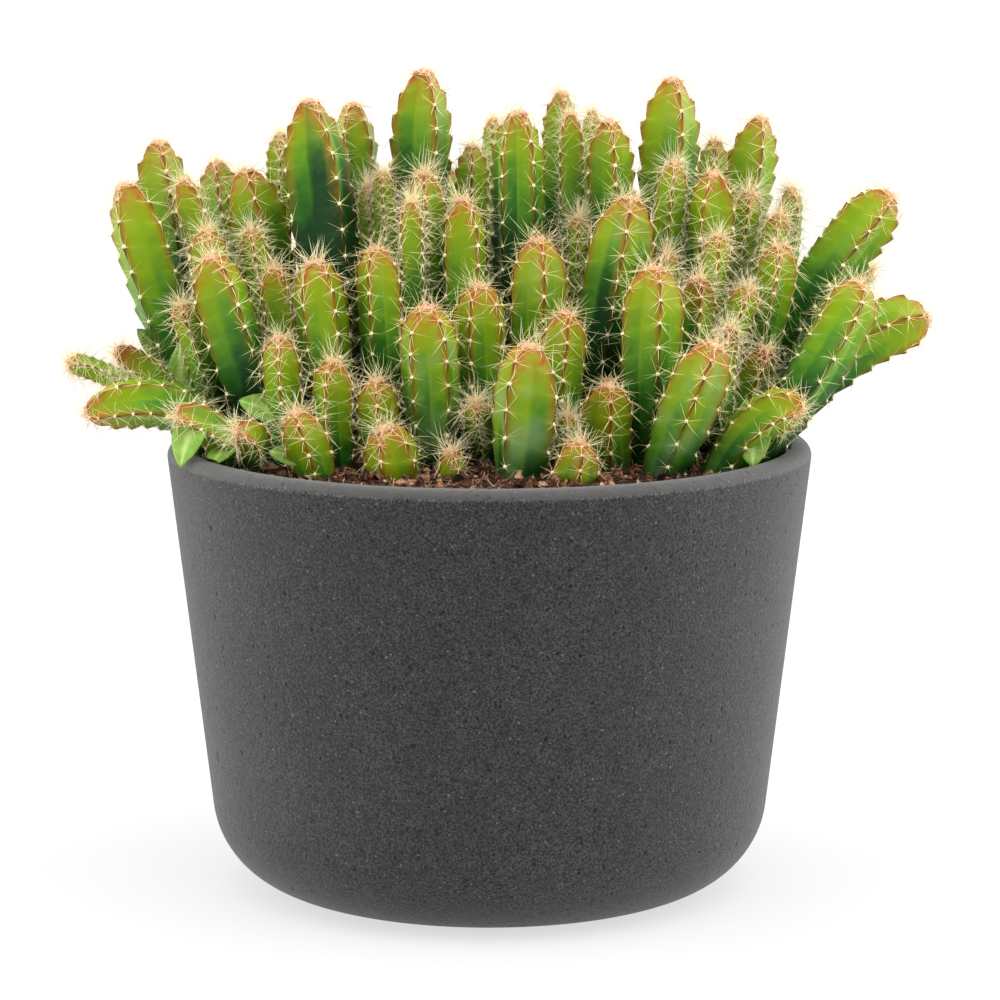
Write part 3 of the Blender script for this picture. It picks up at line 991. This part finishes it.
def makePeat():
    v = peatValues
    made, tree, shader = startMaterial("coco peat, ground husk", Roughness=v["roughness"], Specular_IOR_Level=0.2)
    tone, fibre = (addNode(tree, "Attribute", out="Fac", attribute_name=name) for name in ("tone", "fibre"))
    place = addNode(tree, "TexCoord", out="Object")
    crumbs = addNode(tree, "TexNoise", {"Vector": place, "Scale": 1 / v["grain"], "Detail": 4.0, "Roughness": 0.65})
    dust = addNode(tree, "TexNoise", {"Vector": place, "Scale": 1 / v["dust"], "Detail": 4.0, "Roughness": 0.7})
    share = addNode(tree, "MapRange", (crumbs, 0.3, 0.7, -0.35, 0.35))
    share = addNode(tree, "Math", (share, tone), operation="ADD", use_clamp=True)
    brown, dry = (addNode(tree, "MapRange", (share, *ends)) for ends in ((0.0, 0.55), (0.6, 1.0)))
    colour = linear(v["damp"])
    for mask, name in ((brown, "brown"), (dry, "dry"), (fibre, "fibre")):
        colour = addNode(tree, "Mix", {0: mask, 6: colour, 7: linear(v[name])}, **asColour)
    tree.links.new(colour, shader.inputs["Base Color"])
    bump = addNode(tree, "Bump", {"Height": dust, "Distance": v["dustDepth"]})
    tree.links.new(bump, shader.inputs["Normal"])
    return made


def peatHeight(x, y):
    v = peatValues
    reach = math.hypot(x, y)
    bumps = noise.fractal(Vector((x, y, 0.3)) / v["bump"], 0.7, 2.1, 4) * v["relief"]
    mound = v["mound"] * max(0, 1 - (reach / v["moundReach"]) ** 4)
    return crowdValues["soilTop"] + v["lift"] + mound + bumps


peat = makePeat()
v = peatValues
edge = soilRadius(crowdValues["soilTop"]) + v["overWall"]
points = []
for i in range(v["rings"]):
    reach = edge * (1 - (i / v["rings"]) ** 1.25)  # closer rings near the wall, where the peat shows
    for j in range(v["spokes"]):
        angle = 2 * math.pi * (j + 0.5 * (i % 2)) / v["spokes"]
        x, y = reach * math.cos(angle), reach * math.sin(angle)
        points.append((x, y, max(peatHeight(x, y), crowdValues["soilTop"] - 1 * mm)))
faces = gridFaces(v["rings"], v["spokes"], 0)
faces = [face[::-1] for face in faces] + [tuple(range(len(points) - v["spokes"], len(points)))]
tones = [0.14 + 0.4 * noise.noise(Vector(p) / v["patch"]) for p in points]
buildMesh("peat_surface", points, faces, peat, {"tone": tones, "fibre": np.zeros(len(points))})

peatRng = np.random.default_rng(v["seed"])
lump = np.array([  # a crumb before it is deformed: three rings of five points
    (math.cos(a) * math.cos(b), math.sin(a) * math.cos(b), math.sin(b))
    for b in (-1.05, 0, 1.05) for a in np.arange(5) * 2 * math.pi / 5 + b])
lumpFaces = [(k + j, k + (j + 1) % 5, k + 5 + (j + 1) % 5, k + 5 + j) for k in (0, 5) for j in range(5)]
lumpFaces += [(4, 3, 2, 1, 0), (10, 11, 12, 13, 14)]
points, tones = [], []
feet = crowd.ends[:, 0, :2][crowd.parent < 0]
feetRadii = (crowd.half * crowd.foot)[crowd.parent < 0]
while len(points) < v["crumbs"] * len(lump):
    reach = edge * math.sqrt(peatRng.uniform(0, 1))
    angle = peatRng.uniform(0, 2 * math.pi)
    x, y = reach * math.cos(angle), reach * math.sin(angle)
    size = v["crumbSizes"][0] * (v["crumbSizes"][1] / v["crumbSizes"][0]) ** peatRng.uniform(0, 1) ** 1.3
    inStem = np.hypot(*(feet - [x, y]).T) < feetRadii - v["stemMargin"]
    if reach + size > edge - v["wallMargin"] or inStem.any():
        continue
    shape = lump * peatRng.uniform(0.6, 1.3, (len(lump), 1)) * peatRng.uniform(0.65, 1.2, 3)
    centre = np.array([x, y, peatHeight(x, y) + size * peatRng.uniform(0.0, 0.7)])
    points += (centre + shape * size).tolist()
    tones += [float(np.clip(peatRng.normal(0.5, 0.3), 0, 1))] * len(lump)
attributes = {"tone": tones, "fibre": np.zeros(len(points))}
faces = copies(lumpFaces, len(points), len(lump))
buildMesh("peat_crumbs", points, faces, peat, attributes, smooth=False)

count = v["fibres"]
reach, angle = (edge - 4 * mm) * np.sqrt(peatRng.uniform(0, 1, count)), peatRng.uniform(0, 2 * math.pi, count)
x, y = reach * np.cos(angle), reach * np.sin(angle)
start = np.stack([x, y, [peatHeight(a, b) + 0.3 * mm for a, b in zip(x, y)]], axis=1)
heading = peatRng.uniform(0, 2 * math.pi, count)
way = unit(np.stack([np.cos(heading), np.sin(heading), peatRng.uniform(-0.05, 0.45, count)], axis=1))
size = peatRng.uniform(*v["fibreLength"], count)
tips = start + way * size[:, None]
size = np.where(np.hypot(tips[:, 0], tips[:, 1]) > edge - 0.5 * mm, 1.5 * mm, size)
side = unit(np.cross(way, peatRng.normal(0, 1, (count, 3))))
thick = peatRng.uniform(*v["fibreRadius"], count)
points, faces = curledStrands(start, way, side, size, peatRng.uniform(0.3, 2.4, count), thick)
dry = np.repeat(peatRng.uniform(0.2, 1, count), strandPoints)
buildMesh("peat_fibres", points, faces, peat, {"tone": dry, "fibre": 0.8 * dry})
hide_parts("soil")
report("peat")

# Cast fibre-cement: pressed in a mould and left bare. The eye sees a matte charcoal face with fine pale grit,
# small air holes and a paler rubbed rim.

potValues = {
    "charcoal": "#292829", "warm": "#353332", "rubbed": "#464544", "grit": "#7d7a7a", "hole": "#020202",
    "roughness": 0.66, "roughSpread": 0.06, "ior": 1.5, "specular": 0.26, "dust": 0.15, "dustRoughness": 0.5,
    "cloud": 28 * mm, "mottle": 3.5 * mm, "sand": 0.62 * mm, "sandShades": (0.25, 1.8),
    "fray": 0.9 * mm, "frayBy": 0.9 * mm, "holeDepth": 0.4 * mm, "mottleRelief": 0.35, "sandRelief": 0.6, "relief": 0.9,
    "spots": (  # cell, radius and share kept: small, middling and rare large holes, then pale grains
        (1.6 * mm, 0.3, 0.34), (3.1 * mm, 0.21, 0.28), (7.0 * mm, 0.13, 0.3), (1.2 * mm, 0.24, 0.2),
    ),
    "inner": 0.6, "paleShare": 0.55, "filled": 0.25,  # a spot's core, the grains' paleness, holes left in the lip
    "lipFrom": 128 * mm, "lipBlend": 0.5 * mm, "lipWaver": 1.2 * mm, "arris": 0.35 * mm,  # it ends in a crisp edge
    "height": 130 * mm, "topRadius": 93.27 * mm, "slope": 0.1153, "footRound": 27 * mm, "footFlat": 54.3 * mm,
    "wall": 6 * mm, "floor": 8 * mm, "rimRound": 3.3 * mm, "innerRound": 0.6 * mm, "sides": 224,
}


def makeCement():
    v = potValues
    made, tree, shader = startMaterial(
        "cast fibre-cement, bare", IOR=v["ior"], Specular_IOR_Level=v["specular"], Sheen_Weight=v["dust"],
        Sheen_Roughness=v["dustRoughness"])
    place = addNode(tree, "TexCoord", out="Object")
    cloud = addNode(tree, "TexNoise", {"Vector": place, "Scale": 1 / v["cloud"], "Detail": 3.0, "Roughness": 0.6})
    mottle = addNode(tree, "TexNoise", {"Vector": place, "Scale": 1 / v["mottle"], "Detail": 4.0, "Roughness": 0.65})
    sand = addNode(tree, "TexNoise", {"Vector": place, "Scale": 1 / v["sand"], "Detail": 2.0, "Roughness": 0.7})
    share = addNode(tree, "MapRange", (cloud, 0.3, 0.7, -0.25, 0.35))
    patches = addNode(tree, "MapRange", (mottle, 0.35, 0.65, 0.0, 0.7))
    share = addNode(tree, "Math", (share, patches), operation="ADD", use_clamp=True)
    colour = addNode(tree, "Mix", {0: share, 6: linear(v["charcoal"]), 7: linear(v["warm"])}, **asColour)
    # fine sand in the face, dark between pale grains
    grains = addNode(tree, "MapRange", (sand, 0.41, 0.61, v["sandShades"][0], v["sandShades"][1]))
    colour = addNode(tree, "Mix", {0: 1.0, 6: colour, 7: grains}, blend_type="MULTIPLY", **asColour)
    # the trowelled lip is smoother and paler, with a broken pale line where it meets the cast face
    height = addNode(tree, "SeparateXYZ", (place,), out="Z")
    height = addNode(tree, "Math", (mottle, v["lipWaver"], height), operation="MULTIPLY_ADD")
    low, high = v["lipFrom"] - v["lipBlend"], v["lipFrom"] + v["lipBlend"]
    lip = addNode(tree, "MapRange", (height, low, high))
    worn = addNode(tree, "MapRange", (mottle, 0.3, 0.7, 0.55, 1.1))
    worn = addNode(tree, "Math", (worn, lip), operation="MULTIPLY", use_clamp=True)
    arris = addNode(tree, "Math", (height, v["lipFrom"], v["arris"]), operation="COMPARE")
    broken = addNode(tree, "MapRange", (sand, 0.52, 0.66, 0.0, 0.45))
    arris = addNode(tree, "Math", (arris, broken), operation="MULTIPLY")
    # air holes of three sizes, each a frayed spot in some of the cells, and pale grains in others
    fray = addNode(tree, "TexNoise", {"Vector": place, "Scale": 1 / v["fray"], "Detail": 1.0}, out="Color")
    frayed = addNode(tree, "VectorMath", (fray, (v["frayBy"],) * 3, place), operation="MULTIPLY_ADD")
    spots = []
    for cell, radius, kept in v["spots"]:
        cells = addNode(tree, "TexVoronoi", {"Vector": frayed, "Scale": 1 / cell}, out="Distance")
        chance = addNode(tree, "SeparateColor", (cells.node.outputs["Color"],))
        reach = addNode(tree, "MapRange", (chance, 0.0, kept, 1.3 * radius, 0.6 * radius))
        inner = addNode(tree, "Math", (reach, v["inner"]), operation="MULTIPLY")
        spot = addNode(tree, "MapRange", (cells, reach, inner))
        chosen = addNode(tree, "Math", (chance, kept), operation="LESS_THAN")
        spots.append(addNode(tree, "Math", (spot, chosen), operation="MULTIPLY"))
    pale = addNode(tree, "Math", (spots[3], v["paleShare"]), operation="MULTIPLY")
    pits = addNode(tree, "Math", (spots[1], spots[2]), operation="MAXIMUM")
    holes = addNode(tree, "Math", (spots[0], pits), operation="MAXIMUM")
    filled = addNode(tree, "MapRange", {"Value": lip, 3: 1.0, 4: v["filled"]})
    holes = addNode(tree, "Math", (holes, filled), operation="MULTIPLY")
    for mask, name in ((worn, "rubbed"), (arris, "grit"), (pale, "grit"), (holes, "hole")):
        colour = addNode(tree, "Mix", {0: mask, 6: colour, 7: linear(v[name])}, **asColour)
    tree.links.new(colour, shader.inputs["Base Color"])
    low, high = v["roughness"] - v["roughSpread"], v["roughness"] + v["roughSpread"]
    rough = addNode(tree, "MapRange", (mottle, 0.3, 0.7, low, high))
    tree.links.new(rough, shader.inputs["Roughness"])
    # a bump is worked out three times, so its height leaves out the smallest holes and the finest mottle
    uneven = addNode(tree, "TexNoise", {"Vector": place, "Scale": 1 / v["mottle"], "Detail": 1.0})
    relief = addNode(tree, "Math", (uneven, v["mottleRelief"]), operation="MULTIPLY")
    relief = addNode(tree, "Math", (sand, v["sandRelief"], relief), operation="MULTIPLY_ADD")
    relief = addNode(tree, "Math", (relief, pits), operation="SUBTRACT")
    bump = addNode(tree, "Bump", {"Height": relief, "Distance": v["holeDepth"], "Strength": v["relief"]})
    tree.links.new(bump, shader.inputs["Normal"])
    return made


def arcPoints(centre, radius, start, end, steps):
    angles = np.radians(np.linspace(start, end, steps + 1))
    return [(centre[0] + radius * math.cos(a), centre[1] + radius * math.sin(a)) for a in angles]


def potProfile():  # the part's own profile with finer rounds, from the rim down the outside and back up inside
    v = potValues
    lean = math.degrees(math.atan(v["slope"]))
    rim = arcPoints((v["topRadius"] - v["rimRound"], v["height"] - v["rimRound"]), v["rimRound"], 90, -lean, 12)
    foot = arcPoints((v["footFlat"], v["footRound"]), v["footRound"], -lean, -90, 20)
    wall = [tuple(np.array(rim[-1]) + (np.array(foot[0]) - rim[-1]) * s) for s in np.linspace(0, 1, 26)[1:-1]]
    bend = v["footRound"] - v["wall"]
    inside = arcPoints((v["footFlat"], v["floor"] + bend), bend, -90, -lean, 8)
    innerTop = v["topRadius"] - v["wall"] - v["slope"] * v["innerRound"]
    edge = [(innerTop + out * v["innerRound"], v["height"] - down * v["innerRound"])
            for out, down in ((0, 1), (0.25, 0.3), (1, 0))]
    return rim + wall + foot, inside + edge


outside, inside = potProfile()
sides = potValues["sides"]
turns = np.arange(sides) * 2 * math.pi / sides
points = np.array([(x * math.cos(a), x * math.sin(a), z) for x, z in outside + inside for a in turns])
under, last = len(outside) * sides, len(points) - sides
faces = gridFaces(len(outside), sides, 0) + gridFaces(len(inside), sides, under)
faces += [tuple(range(under - sides, under))[::-1], tuple(range(under, under + sides))]  # underside and floor
faces += [(j, (j + 1) % sides, last + (j + 1) % sides, last + j) for j in range(sides)]
cement = makeCement()
pot = buildMesh("cement_pot", points, faces, cement)
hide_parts("pot")
report("pot")

# Studio: a pale floor that fills the background, soft lights and a long lens at the height of the rim

studioValues = {
    "floor": "#7e7e7d", "shade": "#7a7a79", "below": 0.66, "cloud": 60 * mm,
    "front": 0.3, "back": 1.55, "sides": 2.2, "sun": 1.5, "sunFrom": (0.2, -0.65, 1.3), "sunWidth": 55,
    "distance": 1.156, "height": 0.303, "tilt": 9.36, "pan": 0.151, "sensor": 36, "lens": 4025 * 36 / 1000,
}


def makeFloor():
    v = studioValues
    made, tree, shader = startMaterial(
        "opal acrylic shooting table, lit from below", Roughness=0.9, Specular_IOR_Level=0.1,
        Emission_Color=(1, 1, 1, 1), Emission_Strength=v["below"])
    place = addNode(tree, "TexCoord", out="Object")
    cloud = addNode(tree, "TexNoise", {"Vector": place, "Scale": 1 / v["cloud"], "Detail": 2.0})
    colour = addNode(tree, "Mix", {0: cloud, 6: linear(v["floor"]), 7: linear(v["shade"])}, **asColour)
    tree.links.new(colour, shader.inputs["Base Color"])
    made.cycles.emission_sampling = "NONE"
    mesh = bpy.data.meshes.new("floor")
    mesh.from_pydata([(-14, -6, 0), (14, -6, 0), (14, 30, 0), (-14, 30, 0)], [], [(0, 1, 2, 3)])
    mesh.materials.append(made)
    floor = bpy.data.objects.new("floor", mesh)
    bpy.context.scene.collection.objects.link(floor)


def setStudio():
    v, scene = studioValues, bpy.context.scene
    makeFloor()
    world = bpy.data.worlds.new("soft white surroundings")
    world.use_nodes = True
    tree = world.node_tree  # white all round, darkest in front, with a large soft light at each side
    way = addNode(tree, "TexCoord", out="Generated")
    depth = addNode(tree, "SeparateXYZ", (way,), out="Y")
    aside = addNode(tree, "Math", (depth.node.outputs["X"],), operation="ABSOLUTE")
    aside = addNode(tree, "MapRange", (aside, 0.55, 0.85, 0.0, v["sides"]),
                    interpolation_type="SMOOTHSTEP")
    glow = addNode(tree, "MapRange", (depth, -0.95, -0.1, v["front"], v["back"]),
                   interpolation_type="SMOOTHSTEP")
    glow = addNode(tree, "Math", (glow, aside), operation="ADD")
    tree.nodes["Background"].inputs["Color"].default_value = (1, 1, 1, 1)
    tree.links.new(glow, tree.nodes["Background"].inputs["Strength"])
    scene.world = world
    sun = bpy.data.lights.new("large soft light in front", "SUN")
    sun.energy, sun.angle = v["sun"], math.radians(v["sunWidth"])
    lamp = bpy.data.objects.new(sun.name, sun)
    lamp.location = v["sunFrom"]
    lamp.rotation_euler = Vector(v["sunFrom"]).to_track_quat("Z", "Y").to_euler()
    scene.collection.objects.link(lamp)
    camera = bpy.data.cameras.new("camera")
    camera.sensor_width, camera.lens = v["sensor"], v["lens"]
    camera.clip_start, camera.clip_end = 0.05, 100
    seen = bpy.data.objects.new("camera", camera)
    scene.collection.objects.link(seen)
    seen.location = (0, -v["distance"], v["height"])
    seen.rotation_euler = (math.radians(90 - v["tilt"]), 0, math.radians(-v["pan"]))
    scene.camera = seen
    scene.view_settings.view_transform = "Standard"


setStudio()
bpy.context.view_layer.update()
report("studio")
